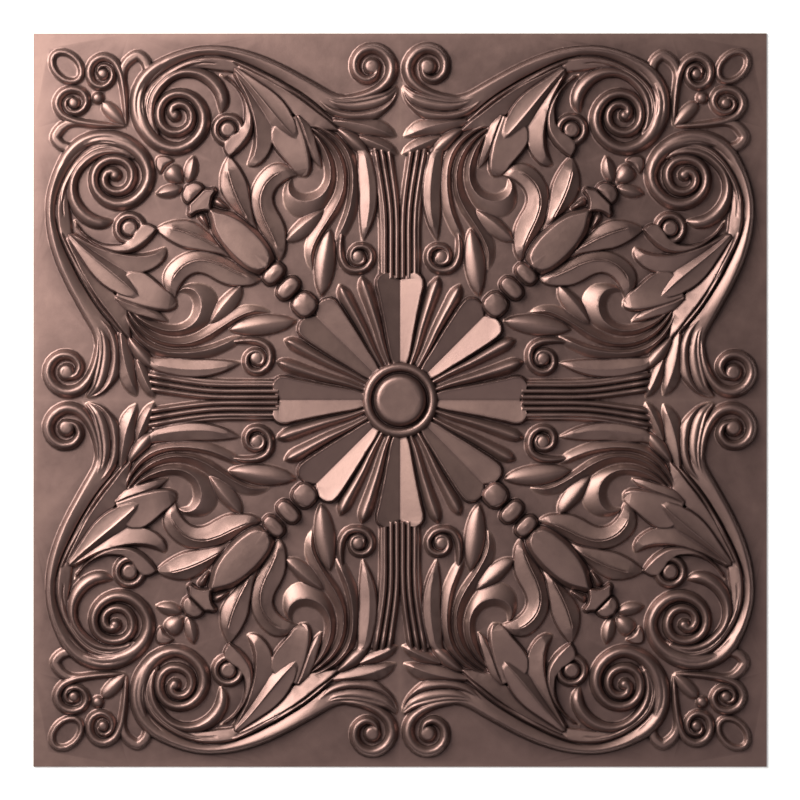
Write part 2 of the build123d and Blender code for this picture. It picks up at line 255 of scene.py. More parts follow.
def beads_and_baluster():
    corners = 16
    roundness = 0.7
    inset = 0.93
    for centre, across, along in ((78.3, 9.6, 9.4), (91.8, 10.6, 6.2), (103.6, 10.0, 5.8)):
        ring = []
        for k in range(corners):
            angle = 2 * math.pi * k / corners
            c, s = math.cos(angle), math.sin(angle)
            a = across * math.copysign(abs(c) ** roundness, c)
            b = along * math.copysign(abs(s) ** roundness, s)
            ring.append((centre + DIAGONAL * (a + b) * inset, centre + DIAGONAL * (b - a) * inset))
        dome(ring, 8.0, run=2.0, crown=0.7, edge=2.4)
    side = [(112, 108), (108.3, 111), (106.3, 117), (107.5, 121.5), (113, 130), (121, 138.5),
            (130, 146), (140, 151.3), (149, 153.6)]
    belly = side + [(154.8, 154.8)] + swapped(side[::-1])
    dome(belly, 9.0, run=4.2, crown=0.5, edge=1.6)
    leaf([(140, 157.5), (146, 162.8), (150.5, 166), (153.5, 165.2)],
         [(140, 157), (146, 160.7), (151, 163.4), (153.8, 164.4)],
         [(141, 156.5), (147, 158.3), (152.7, 161.3), (153.8, 163.6)],
         5.0, wall=2, swell=0.5, bulge=(1.8, 1.8))
    horn = [(151.4, 171.8), (154.6, 167), (155.9, 161.4), (155.8, 155.8)]
    outer = [(152.6, 173.4), (156, 172.6), (160.4, 172.6), (163.6, 169.6), (166.4, 166.4)]
    collar = horn + swapped(horn[:-1][::-1]) + swapped(outer[:-1]) + outer[::-1]
    dome(collar, 7.6, run=1.6, crown=0.1, edge=0.8)
    cap = [(160.9, 173), (164.2, 176.9), (168.6, 178.2), (173, 176.8), (175.4, 175.4)]
    dome(cap + swapped(cap[:-1][::-1]), 6.0, run=1.4, crown=0.9, edge=3.0)


def flower():
    leaf([(169, 200.8), (166.6, 194), (166.9, 187), (169.4, 182), (173, 178.6)],
         [(169.2, 200.8), (170.3, 194), (171.3, 188), (172.6, 183), (174.2, 178.6)],
         [(169.6, 200.6), (174, 196), (176.5, 190), (176.8, 184.5), (175, 178.6)],
         4.6, wall=1.8, swell=0.4)
    heart = [(178.2, 178.6), (177.8, 184), (179.4, 189.4), (183.4, 193.2), (188, 193.4), (191.2, 191.4)]
    leaf(heart, [(178.4, 178.4), (181, 181), (184, 184), (187, 187), (189.6, 189.6), (191.4, 191.4)],
         swapped(heart), [1.2, 3.6, 4.8, 5.0, 4.2, 1.6], wall=1.4, bulge=(2.0, 2.0))
    dome([(186.5, 196.8), (192, 199.6), (198.8, 198.8), (199.6, 192), (196.8, 186.5), (192.8, 192.8)],
         3.0, run=1.2, crown=0.5, edge=1.2)


def reeds():
    for x, top_x, low, tall in ((2.4, 9.4, 104, 4.2), (7.3, 15.2, 104, 4.4), (12.4, 20.6, 103.5, 4.6)):
        fan = top_x - x
        tube([(x, low - 4, 5.6, tall), (x, 120, 5.6, tall), (x, 145, 5.6, tall),
              (x + 0.07 * fan, 157, 5.6, tall), (x + 0.25 * fan, 170, 5.6, tall),
              (x + 0.6 * fan, 188, 5.7, tall), (x + 0.93 * fan, 203, 5.2, tall),
              (x + 1.02 * fan, 206.5, 4.5, 2.5)], crown=2.6)
    tube([(14.6, 100, 5.0, 3.0), (14.8, 120, 5.4, 3.0), (15, 145, 5.6, 3.0), (15.8, 158, 5.6, 3.0),
          (17.2, 171, 5.4, 3.0), (20.3, 188, 4.8, 3.0), (23.4, 204, 3.6, 2.6)], crown=2)


def hook_scroll():
    tube([(47.2, 140, 1.2, 1.5), (48.4, 133, 4.6, 4.0), (49, 125, 6.4, 5.0), (47.8, 115.5, 7.2, 5.4),
          (43.6, 108.6, 7.6, 5.6), (36, 106.2, 7.8, 5.6), (27.8, 108.6, 7.6, 5.6),
          (23, 116.6, 7.2, 5.6), (25, 123.6, 7.0, 5.6), (31, 126.4, 7.0, 5.6), (37.4, 124.6, 6.6, 5.5),
          (40.2, 119, 6.2, 5.3), (38.8, 113.8, 5.6, 5.1), (34, 111.6, 5.0, 5.0), (30, 113.6, 4.6, 4.8),
          (29.2, 117.6, 3.6, 4.6)], count=150)
    turned([(0, 5.2), (2.5, 5.1), (4.0, 4.7), (5.0, 3.8), (5.9, 1.8), (6.4, -0.4)],
           centre=(34.3, 117.6))


def tall_leaves():
    # two buds: one beside the hook scroll, and one that leans out under the leaves
    leaf([(57.5, 141), (55.2, 135), (53.4, 124), (53.6, 112), (56, 100), (60.5, 90), (64.6, 85)],
         [(57.6, 141), (58.6, 134), (60.3, 123), (62.4, 111), (63.6, 100), (64.6, 92), (65, 85)],
         [(58, 141), (62, 136), (67, 125), (69.8, 112), (69.6, 101), (68, 92), (65.4, 85)],
         5.8, wall=2.2, swell=0.42, bulge=(1.7, 1.7))
    leaf([(62.4, 156.4), (70, 154.2), (79, 150), (88, 141.6), (92.6, 134.5), (94, 130.4)],
         [(62.4, 156.2), (71, 150), (81, 142), (88, 136), (94, 130.3)],
         [(62.6, 155.6), (65.4, 148), (72, 139), (80, 132.6), (88, 129.8), (94, 130)],
         5.4, wall=1.8, swell=0.42, bulge=(1.5, 1.5))
    # four long leaves that sweep down from the band, the last one curling round
    leaf([(34, 207.4), (26, 203.4), (22.4, 193), (19.8, 180), (19, 169), (19.8, 158), (23, 146),
          (30, 130.6)],
         [(34.6, 207), (29.6, 201.6), (27.4, 193), (25.6, 180), (24.9, 169), (25.2, 158), (27, 146),
          (30.2, 130.6)],
         [(36, 206.6), (34.8, 202.4), (34.4, 193), (33.8, 181), (33, 169), (33.2, 158), (32.6, 147),
          (30.6, 130.6)],
         [3.6, 5.2, 5.4, 5.4, 5.4, 5.2, 4.4, 0.6],
         wall=(4.0, 2.4), bulge=(1.0, 1.0))
    leaf([(72, 226.8), (60, 222.6), (48.6, 216), (39.6, 205.5), (35, 194), (33.2, 181), (33.4, 168),
          (35.6, 155), (39.8, 144.5), (46, 134), (52.2, 130)],
         [(72, 226.2), (61, 221), (51, 213.6), (44, 204.5), (40, 193), (38.8, 180), (39.8, 167),
          (42.2, 155), (46, 144.6), (50, 136), (52.6, 130)],
         [(72, 225.6), (62, 219.6), (53, 212), (46.6, 203), (42.6, 192), (41.6, 180), (42.6, 167),
          (45, 156), (48.8, 146), (52, 137), (53, 130)],
         [3.5, 5.2, 5.8, 6.0, 6.0, 6.0, 5.8, 5.6, 5.2, 4.4, 0.6],
         wall=1.0, bulge=(1.35, 1.0))
    leaf([(73, 224.4), (63.6, 219.4), (55, 212.4), (48.4, 203), (44.4, 192), (43.4, 180), (45, 168),
          (49, 157), (56, 146), (64, 134.5), (70, 122), (71.6, 107)],
         [(73, 223.6), (65.4, 218.4), (57.8, 211.4), (51.2, 202), (47.2, 191), (46, 180), (47.6, 169.5),
          (52.4, 158.5), (60, 146.4), (67.6, 134), (72.8, 121), (72.2, 107)],
         [(73.4, 222.6), (67.4, 217.4), (60.4, 210), (54.6, 201), (51.4, 191), (51, 181), (53, 171),
          (58.4, 161), (66.6, 149), (74.6, 136), (77.8, 124), (76.4, 114), (72.8, 107)],
         [3.5, 5.2, 5.8, 6.2, 6.2, 6.2, 6.2, 6.0, 5.6, 5.0, 4.2, 0.5],
         wall=0.9, bulge=(1.0, 0.8))
    leaf([(71.5, 220.4), (63.6, 213), (57, 203), (53.4, 192), (53, 182), (55.2, 172), (60.6, 161),
          (67, 154.6), (77, 150.4), (87, 152), (94, 159.4), (95.6, 168), (93.6, 177), (88.4, 183.4)],
         [(72, 220), (66, 212.4), (60.4, 202), (57.4, 192), (57, 183), (59.2, 175), (64, 168.4),
          (70.6, 164.4), (78, 163), (85.2, 164.8), (90, 169), (91.8, 174.6), (91.2, 179.6),
          (88.6, 183.4)],
         [(72.6, 219.4), (69, 211), (64.6, 201.4), (62, 192), (61.4, 184), (63.6, 177.6), (68, 172.4),
          (73, 170), (78.4, 169.2), (83.6, 170.6), (87.4, 173.6), (88.8, 177), (89, 180),
          (88.8, 183.4)],
         [3.0, 5.4, 6.0, 6.2, 6.2, 6.2, 6.0, 6.0, 6.0, 6.0, 5.6, 5.0, 3.6, 0.6],
         wall=0.9, bulge=(1.2, 0.9))


def side_buds():
    leaf([(55, 231.4), (45, 231), (30, 230.8), (20, 230.4), (13, 228), (7.4, 223.4), (3, 217.4)],
         [(55, 229.6), (44, 228.6), (34, 226.8), (25, 224.6), (17, 221.8), (9.6, 219), (3, 216.8)],
         [(55, 226.6), (48, 223.6), (38, 220.2), (30, 218.2), (20, 217.2), (10, 216), (3, 216.2)],
         [3.0, 4.8, 5.2, 5.4, 5.4, 4.6, 0.6], wall=1.6, bulge=(1.0, 1.4))
    leaf([(33, 217.4), (25, 217), (17, 215.2), (10, 211.8), (5, 207.8), (1.6, 202.6)],
         [(33, 216.4), (26.4, 213.8), (19, 210.6), (12, 207.4), (6.6, 204.6), (1.6, 202.2)],
         [(33, 213), (26.6, 208.6), (20, 205.8), (13, 203.2), (7, 201.2), (1.8, 201.6)],
         [3.0, 4.6, 5.0, 5.0, 4.4, 0.6], wall=1.6, bulge=(1.1, 1.5))
    leaf([(52, 223.4), (47, 223), (40, 220.4), (33, 215.8), (28.6, 209.8), (26, 204.4)],
         [(52, 223), (46.6, 219.4), (40.4, 214.4), (34, 209.4), (30, 206), (26.4, 203.8)],
         [(52, 222), (48, 216.4), (43, 210.6), (38, 206), (32.6, 203.4), (26.8, 203.2)],
         6.2, wall=2.2, swell=0.35, bulge=(2.0, 2.0))


def edge_scroll():
    tube([(57, 247.6, 2, 3.2), (48, 247.6, 5, 4.4), (37, 248.4, 7.4, 5.2), (26, 251.2, 8.6, 5.8),
          (15.4, 256.6, 9.6, 6.2), (8.6, 264, 10.6, 6.4), (6.6, 274, 11, 6.6), (12, 284.4, 10.6, 6.6),
          (22, 289, 10.2, 6.6), (32, 285.8, 9.6, 6.6), (37.2, 277, 9.2, 6.4), (35.2, 267.6, 8.8, 6.3),
          (27.6, 263, 8.4, 6.2), (20.6, 266, 7.0, 6.0), (18.6, 271.6, 4.6, 5.6),
          (19.8, 275.6, 2.4, 5.2)], count=150)
    turned([(0, 6.1), (3.5, 6.0), (5.0, 5.5), (6.0, 4.4), (6.9, 2.2), (7.5, -0.4)], centre=(22.8, 274))
    leaf([(2.4, 257), (11, 252), (20, 249.6), (32, 246.8), (44, 245.4), (56, 246), (64, 250)],
         [(2.2, 256), (9, 249.4), (17, 245.4), (28, 242.8), (40, 241.8), (51, 243.2), (64, 249)],
         [(2.2, 255), (7.6, 246.6), (15.6, 241.6), (28, 238.2), (41, 237.6), (53, 240.4), (66, 248)],
         [1.0, 4.6, 5.2, 5.2, 5.2, 5.0, 4.0], wall=3.0, bulge=(1.7, 1.7))
    leaf([(2, 255.6), (6.6, 247.4), (14, 242), (26, 238), (40, 237), (54, 240), (67, 248)],
         [(1.8, 255), (5.4, 246), (12.4, 239.2), (25, 234.8), (40, 233.8), (54, 237.2), (68, 247)],
         [(1.6, 254.4), (4.6, 246), (10.4, 238.6), (19.6, 231.6), (32, 230.4), (47, 231.2), (57, 235),
          (69, 246)],
         [1.0, 4.0, 4.8, 5.0, 5.0, 4.8, 4.0],
         wall=2.6, bulge=(1.7, 1.7))
    leaf([(3.4, 258.6), (12, 253.4), (22, 251.6), (34, 249), (46, 247.6), (56, 248.6), (64, 252)],
         [(3, 257.6), (11, 251.6), (20, 248.6), (32, 246), (44, 244.8), (55, 246.2), (65, 251)],
         [(2.6, 257), (10, 250), (18, 246.6), (30, 244), (42, 242.8), (54, 244.4), (66, 250)],
         [1.5, 5.0, 5.5, 5.5, 5.4, 5.2, 4.6], wall=3.4, bulge=(1.7, 1.7))


def great_band():
    leaf([(46, 249.8), (53, 251.2), (61, 255.2), (70, 260.4), (80, 266), (90, 271.5), (100, 276.5),
          (110, 281), (120, 284.6), (135, 288.6), (150, 290.4), (163, 290.3), (180, 286.8), (195, 281),
          (205.4, 275.2), (214, 266.6), (219.2, 256.6), (221.3, 246), (221, 236), (217.6, 224.6),
          (211, 215), (202, 207)],
         [(46, 246.8), (54, 247.6), (62, 251.6), (71, 256.8), (81, 262.4), (91, 267.9), (101, 272.8),
          (111, 277.1), (121, 280.7), (136, 284.6), (150, 286.8), (162.6, 286.6), (178.6, 283.2),
          (192.6, 277.4), (202.4, 271.4), (210.2, 263.6), (215, 254.6), (216.8, 245.4), (216.4, 236.8),
          (213.4, 227), (207.4, 218), (199, 210.6)],
         [(46, 240), (53, 236), (61.6, 237.6), (71, 244.6), (80, 251.2), (90, 257.6), (100, 263.4),
          (110, 268.6), (120, 273.2), (135, 279), (150, 282.2), (162, 282.4), (176, 279),
          (189.4, 272.6), (198.6, 266), (206, 258.6), (210.6, 250.6), (212, 243), (211.6, 236),
          (209, 228.6), (203.4, 220.6), (196, 214)],
         [4.0, 5.0, 5.8, 6.2, 6.4, 6.6, 6.8, 6.8, 6.8, 6.8, 6.8, 6.8, 6.8, 6.8, 6.6, 6.4, 6.0],
         wall=2.8, bulge=(2.2, 1.3), run=0.9, steps=7)
    leaf([(120, 275.4), (135, 280.2), (150, 282.4), (162, 282), (175.6, 278.4), (188.8, 272),
          (198, 265.4), (205.4, 258), (210, 250), (211.4, 242.6), (211, 235.6), (208.4, 228.4),
          (203, 220.6)],
         [(124, 272.6), (137, 277.4), (150, 279.6), (161.4, 279.4), (174, 276), (186.4, 270),
          (195.4, 263.6), (202.4, 256.4), (206.6, 249), (208.2, 242), (207.8, 235.6), (205.4, 229),
          (200.6, 221.6)],
         [(126, 266), (138, 269.6), (150, 271), (160.4, 272.4), (172, 272.6), (183.6, 268.4),
          (192.6, 262), (199, 254.8), (202.6, 247.8), (204, 241.6), (203.6, 235.6), (202, 229.6),
          (198, 222.6)],
         [3.0, 5.0, 5.6, 5.8, 5.8, 5.8, 5.8, 5.6, 5.4, 5.2, 4.6],
         wall=2.8, bulge=(1.6, 1.2))


def fan_leaves():
    # thin strip between the band and the fan
    leaf([(54.2, 228.6), (66, 239.4), (78.2, 248.9), (90, 256.5), (101.8, 263.4), (113.6, 269.4),
          (125.4, 275), (137, 279.2)],
         [(54.6, 228), (66.6, 238.4), (78.9, 247.9), (90.7, 255.6), (102.5, 262.4), (114.2, 268.3),
          (125.9, 273.9), (137.4, 278.2)],
         [(55, 227.4), (67.4, 236.6), (79.8, 246.2), (91.7, 254), (103.4, 260.8), (115, 266.7),
          (126.6, 272.4), (138, 277)],
         [3.0, 5.8, 6.2, 6.4, 6.4, 6.4, 6.2, 6.0],
         wall=(4.6, 4.4), bulge=(1.0, 1.0))
    # flat-faced leaf under the band, which falls away from its upper edge
    leaf([(50.6, 222.2), (58.3, 229.1), (66.5, 235.7), (74.7, 242.1), (83, 248.3), (92.4, 255),
          (101.9, 261.1), (111.4, 266.6), (120.8, 271.9), (131.7, 277.2)],
         [(51.2, 221.6), (59, 228.4), (67.2, 234.9), (75.4, 241.3), (83.7, 247.5), (93.1, 254.2),
          (102.5, 260.2), (111.9, 265.7), (121.3, 271), (131.8, 276.2)],
         [(51.8, 221), (57.7, 222), (67.1, 223.5), (75.3, 225), (83.6, 232), (90.4, 236.8),
          (97.5, 244.6), (105.7, 251.6), (115.1, 258.8), (124.5, 265), (133.4, 271.5)],
         [3.5, 5.8, 6.4, 6.8, 6.8, 6.8, 6.8, 6.6, 6.4, 6.0],
         wall=(5.2, 3.0), bulge=(1.0, 1.0))
    # pointed leaf with a flat upper face, a sharp crest and a steep lower one
    leaf([(82.9, 211.1), (84.2, 219.9), (86.8, 229.2), (90.6, 237.4), (96.5, 245.6), (104.7, 253.2),
          (114.1, 259.8), (123.5, 266), (133, 272.4)],
         [(81.4, 210.5), (89.4, 218.6), (96.5, 226.3), (102.9, 233.8), (108.8, 240.9), (115.3, 249),
          (121.5, 256.4), (127.6, 263.3), (135.6, 271.6)],
         [(81.8, 209.9), (93.4, 214.8), (101.8, 219.6), (107.4, 224.4), (113.1, 234.3), (118.4, 242.4),
          (123.7, 250.6), (129.6, 258.4), (137.2, 267.2)],
         [3.5, 7.2, 8.0, 8.2, 8.0, 7.8, 7.4, 6.8, 5.8],
         wall=(6.4, 2.4), bulge=(0.4, 1.05), steps=8)
    # broad leaf beneath it, its left rim rounded over
    leaf([(83.6, 233.7), (79.2, 223.4), (76.7, 215.2), (74.5, 205.8), (73.1, 196.5), (73.6, 188.6),
          (76.6, 184.2), (80.4, 183.4)],
         [(86.1, 233.2), (82.2, 222.4), (79.5, 214.2), (77.3, 205.4), (76.1, 196.7), (76.3, 190.4),
          (78, 186.6), (80.8, 184.6)],
         [(104.3, 223.4), (105.1, 217.7), (104.1, 210), (100.2, 203.7), (95.5, 198.2), (90.8, 193),
          (86.1, 187.2), (81.4, 183.6)],
         [5.4, 5.4, 5.4, 5.4, 5.4, 5.2, 4.4, 1.5],
         wall=(2.4, 4.9), bulge=(2.4, 1.0))
    # bright narrow leaf between the two
    leaf([(64.3, 190.9), (65.2, 197.6), (67.1, 204.6), (69.2, 211.7), (72, 220.4), (75.5, 226.6),
          (83.3, 233.9)],
         [(64.4, 190.9), (68.7, 198.2), (73.2, 207), (76.7, 215.8), (79.7, 224.5), (84, 233.7)],
         [(65, 190.6), (70.1, 195.9), (74.7, 202.9), (76.9, 209.3), (79.1, 216.3), (81.2, 223.4),
          (84.4, 233.2)],
         [1.0, 4.0, 5.0, 5.8, 6.2, 6.0],
         wall=(4.2, 2.2), bulge=(1.0, 1.1))
    # light leaf that narrows upward, its crest along the right
    leaf([(134.1, 269), (127, 259), (120, 249.1), (114.1, 240.9), (108.8, 232.1), (104.1, 221),
          (104.5, 214), (106.4, 205.8), (110, 199.4), (115.3, 194.1), (121.1, 192), (124.9, 192.7)],
         [(135.2, 267.8), (129.9, 258.4), (125.2, 249.1), (122.3, 240.9), (120, 232.7), (118.2, 223.4),
          (117.6, 214), (118.3, 205.8), (120.5, 198.8), (124.9, 192.8)],
         [(136.4, 267.2), (131.7, 257.9), (127, 248.5), (123.7, 239.7), (121.4, 231.5), (120, 223.4),
          (119.5, 216.3), (120.1, 209.3), (122.2, 201.1), (125.3, 193.2)],
         [4.8, 5.6, 5.8, 6.0, 6.0, 6.0, 6.0, 5.6, 4.8, 0.8],
         wall=(3.7, 2.0), bulge=(1.0, 1.2))
    # the outermost leaf, which passes over the ring
    leaf([(140.2, 199.3), (133.3, 203.7), (126.8, 210.3), (121.2, 220.6), (120.2, 231), (122.4, 240.6),
          (127, 249.6), (134, 258), (143, 266)],
         [(140.4, 199.8), (135.4, 205.2), (129, 212.6), (123.8, 221.6), (122.6, 230.6), (124.6, 240),
          (128.8, 249.2), (135.4, 258), (145, 266)],
         [(141, 200.2), (144.2, 207), (143.6, 211.4), (137, 217.2), (131.4, 221.6), (128, 227),
          (127, 234), (127.6, 243), (131, 251.6), (137.6, 260), (148, 267.6)],
         [5.4, 6.0, 6.0, 6.0, 6.0, 6.0, 5.8, 5.4, 4.8],
         wall=(2.6, 5.3), bulge=(1.8, 1.0))


def calyx_leaves():
    leaf([(140, 200.6), (133.8, 193), (128.6, 184.6), (125, 176), (123.4, 166), (121.6, 155),
          (119.8, 147), (116.4, 138.4)],
         [(140.4, 201), (141.6, 188), (137.6, 174), (131.6, 160), (125.2, 148), (116.6, 138.2)],
         [(141, 200.6), (145.6, 191), (147.6, 182), (147, 173), (143.4, 165), (136.6, 157), (129, 149),
          (122, 143), (117, 138)],
         [0.8, 5.6, 6.2, 6.2, 5.6, 0.8],
         wall=(3.8, 2.0), bulge=(1.0, 1.0))
    leaf([(98.6, 113.6), (94.6, 122), (93.8, 132), (94.4, 141), (98, 150), (102.8, 158.6), (104.6, 166),
          (102.2, 173), (97, 178.6), (91, 182.2), (83.4, 185)],
         [(99, 113.4), (101, 124), (106.4, 137), (112.4, 150), (115.2, 161), (114.2, 170),
          (109.8, 178.6), (103.4, 184.6), (96.4, 188), (89.6, 187.8), (83.4, 185.4)],
         [(99.4, 113.4), (105, 123), (110.4, 132), (115.4, 141), (119.6, 150), (122, 160), (122, 170),
          (118.4, 180), (112, 188.4), (103, 193.8), (94, 193.4), (88, 190.4), (83.6, 185.8)],
         [0.8, 5.4, 6.0, 6.2, 6.2, 6.2, 6.2, 6.0, 5.6, 4.8, 0.8],
         wall=(3.4, 2.0), bulge=(1.1, 1.0))


def great_volute():
    tube([(209, 262, 6, 5.4), (213.4, 248, 12, 6.6), (212.6, 234, 14.5, 7.0), (207, 219.4, 14.6, 7.2),
          (196.6, 209.6, 12.6, 7.4), (183.4, 206.2, 11.4, 7.4), (170.6, 211.4, 11.4, 7.4),
          (162.6, 221.4, 11.4, 7.4), (160.8, 232, 11.2, 7.4), (165, 243, 10.6, 7.4),
          (173, 249.8, 9.8, 7.3), (181.4, 251.6, 9.4, 7.3), (190.6, 248.8, 9.2, 7.2),
          (196.4, 242, 9.2, 7.1), (198, 233, 9.2, 7.0), (195, 224.6, 9.0, 7.0),
          (187.6, 219.8, 9.0, 6.9), (179.4, 220.4, 8.8, 6.9), (173, 225, 8.6, 6.8),
          (170.8, 231.6, 8.4, 6.8), (172.2, 238, 8.2, 6.7), (176.6, 242.3, 8.2, 6.7),
          (182, 243, 8.6, 6.7), (186.4, 240.6, 9.2, 6.7), (187.6, 236.8, 9.6, 6.7),
          (186.4, 234.2, 9.8, 6.7), (184.6, 233.2, 8.8, 6.7)], count=280)
    turned([(0, 6.75), (1.6, 6.6), (2.8, 6.0), (3.8, 4.8), (4.6, 2.8), (5.2, -0.4)],
           centre=(184.8, 233.6))
    leaf([(146, 235.8), (142.2, 241), (141.2, 248), (143.4, 256), (149, 264), (158, 270.2),
          (168.6, 273), (180, 272.4), (190, 268), (198.4, 261), (204.4, 252), (207, 243), (207.4, 234),
          (205, 225), (200, 216)],
         [(147, 235.6), (145.8, 241), (146, 248), (148.8, 255), (154.4, 261.6), (162, 266.6),
          (170.6, 269), (180, 268.4), (188.6, 264.6), (196, 258), (201.4, 250), (203.8, 242),
          (204, 234), (202.4, 226), (198.6, 218)],
         [(148, 236), (149.2, 242), (151, 249), (155.4, 256), (162, 261.8), (169.6, 265.2),
          (177.4, 265.6), (185.6, 262.8), (192.6, 257), (198, 249.6), (200.8, 242), (201.6, 234),
          (200.6, 227), (197.6, 219.6)],
         [1.0, 5.8, 6.6, 6.8, 6.8, 6.8, 6.8, 6.8, 6.6, 6.4, 6.2, 5.8, 5.0, 3.0],
         wall=3.0, bulge=(1.8, 1.8))
    turned([(0, 5.0), (4.2, 4.9), (5.6, 4.4), (6.4, 3.2), (7.0, 1.2), (7.6, 1.2), (8.3, 3.2),
            (9.4, 4.7), (10.6, 5.2), (11.8, 4.7), (13, 3.2), (13.9, 0.4), (14.4, -0.4)],
           centre=(141, 222))


def oval_ring(centre, long_way, short_way):
    """A ring on an oval whose long way lies along the diagonal."""
    corners = 48
    width = 6.0
    tall = 3.6
    path = []
    for k in range(corners):
        angle = 2 * math.pi * k / corners
        ahead, aside = long_way * math.cos(angle), short_way * math.sin(angle)
        x = centre + DIAGONAL * (ahead - aside)
        y = centre + DIAGONAL * (ahead + aside)
        path.append((x, y, width, tall))
    tube(path, crown=2.6, count=145, closed=True)


def corner():
    tube([(203.5, 263, 8, 3.2), (206.6, 271.4, 9, 3.6), (209.6, 279, 9.4, 3.8),
          (215.6, 283.2, 9.6, 3.9), (222, 280, 9.6, 3.9), (227.6, 271.8, 8, 3.8), (228, 262, 6, 3.8)],
         crown=3.2)
    tube([(224.8, 226, 1.6, 1.4), (225.2, 234, 4.6, 3.4), (226, 246, 6.2, 4.4), (227.4, 258, 7, 4.8),
          (229.8, 269, 7.6, 5.0), (235, 278, 8, 5.1), (243.6, 281.8, 8.2, 5.2), (251.8, 278, 8.2, 5.2),
          (255.4, 269, 8, 5.2), (252.6, 260.6, 7.6, 5.1), (245.4, 257.2, 7.2, 5.0),
          (238.6, 260.4, 6.8, 5.0), (236, 266.4, 6.4, 4.9), (238, 272.6, 5.8, 4.8),
          (243, 274.8, 5.0, 4.7), (247.4, 272.6, 4.4, 4.5), (248.4, 268.6, 3.2, 4.3)], count=150)
    turned([(0, 4.8), (2.0, 4.7), (3.4, 4.1), (4.4, 2.6), (5.0, 0.6), (5.3, -0.4)],
           centre=(243.8, 267.8))
    turned([(0, 4.6), (2.0, 4.4), (3.6, 3.5), (4.7, 1.8), (5.3, -0.4)], centre=(248.2, 248.2))
    leaf([(225, 225.6), (227.6, 234), (234, 241.6), (240.4, 245.2), (244.8, 244.8)],
         [(225.2, 225.2), (230, 230), (236, 236), (241, 241), (245, 245)],
         [(225.6, 225), (234, 227.6), (241.6, 234), (245.2, 240.4), (244.8, 244.8)],
         4.4, wall=1.6, swell=0.4, bulge=(1.8, 1.8))
    oval_ring(273.8, 14.2, 9.9)


def carve_mould():
    """Every form of the eighth, from the tile's middle to its corner."""
    rosette()
    beads_and_baluster()
    flower()
    reeds()
    hook_scroll()
    tall_leaves()
    side_buds()
    edge_scroll()
    great_band()
    fan_leaves()
    calyx_leaves()
    great_volute()
    corner()


def creases():
    """Fine lines with a depth and a width: below nought is cut, above it is raised."""
    lines = []

    def line(points, depth, width):
        lines.append((points, depth, width))

    def double(points, apart=0.9):
        path = flow(points, LINE_STATIONS)
        way = np.gradient(path, axis=0)
        way /= np.linalg.norm(way, axis=1)[:, None]
        aside = np.column_stack([-way[:, 1], way[:, 0]])
        line(path, depth=-0.7, width=0.5)
        line(path + aside * apart, depth=0.45, width=0.45)
        line(path - aside * apart, depth=0.45, width=0.45)

    double([(141.6, 188), (137.6, 174), (131.6, 160), (125.2, 148)])
    double([(101, 124.6), (106.4, 137), (112.4, 150), (115.2, 161), (114.2, 170), (109.8, 178.6),
            (103.4, 184.6), (98, 187.6)])
    line([(54.3, 229.4), (65.8, 240.2), (77.9, 249.7), (89.7, 257.3), (101.5, 264.2), (113.3, 270.2),
          (125.1, 275.8), (136.8, 280.1), (151, 283.6)], depth=-1.6, width=0.6)
    line([(54, 226.6), (67.2, 236), (79.4, 245.6), (91.2, 253.3), (102.9, 260.1), (114.6, 266),
          (126.2, 271.8), (137.6, 276.4)], depth=-1.2, width=0.5)
    line([(160, 279.4), (174, 276.4), (187, 270.2), (197, 263), (204.4, 254), (208, 244), (207.8, 234),
          (205, 226)], depth=-0.7, width=0.6)
    line([(150, 276), (162, 276.6), (174, 273.6), (185.6, 268.6)], depth=-0.5, width=0.6)
    line([(172, 287), (186, 282.4), (197, 275.6)], depth=-0.3, width=0.8)
    line([(195, 272.4), (204, 263.6), (210, 253), (212, 243), (210.6, 232)], depth=-0.5, width=0.6)
    line([(159.6, 174.4), (167, 167), (174.4, 159.6)], depth=-2.4, width=0.7)
    line([(185.6, 195.6), (190.8, 190.8), (195.6, 185.6)], depth=-1.8, width=0.8)
    line([(72, 91), (78, 87.4), (84.6, 84.6)], depth=-0.6, width=0.8)
    return lines


def press_lines(height, lines):
    """Adds each fine line to the height map, fading out at its two ends."""
    size = height.shape[0]
    for points, depth, width in lines:
        path = flow(points, len(points) * STATIONS_PER_POINT)
        reach = 4 * width
        low = np.maximum(((path.min(axis=0) - reach) / CELL).astype(int), 0)
        high = np.minimum(((path.max(axis=0) + reach) / CELL).astype(int) + 2, size)
        xs = np.arange(low[0], high[0]) * CELL
        ys = np.arange(low[1], high[1]) * CELL
        best = np.full((len(ys), len(xs)), 1e9)
        fade = np.zeros_like(best)
        for k in range(len(path) - 1):
            a, b = path[k], path[k + 1]
            ab = b - a
            x0, x1 = sorted((a[0], b[0]))
            y0, y1 = sorted((a[1], b[1]))
            i0, i1 = np.searchsorted(xs, (x0 - reach, x1 + reach))
            j0, j1 = np.searchsorted(ys, (y0 - reach, y1 + reach))
            if i0 == i1 or j0 == j1:
                continue
            gx = xs[None, i0:i1] - a[0]
            gy = ys[j0:j1, None] - a[1]
            t = np.clip((gx * ab[0] + gy * ab[1]) / max(ab @ ab, 1e-9), 0, 1)
            d = (gx - t * ab[0])**2 + (gy - t * ab[1])**2
            part = best[j0:j1, i0:i1]
            nearer = d < part
            along = (k + t) / (len(path) - 1)
            part[nearer] = d[nearer]
            to_end = np.minimum(along, 1 - along)
            fade[j0:j1, i0:i1][nearer] = np.minimum(1, to_end / LINE_FADE)[nearer]
        block = height[low[1]:high[1], low[0]:high[0]]
        block += depth * fade * np.exp(-best / width**2) * np.clip(block / FULL_LINE_AT, 0, 1)


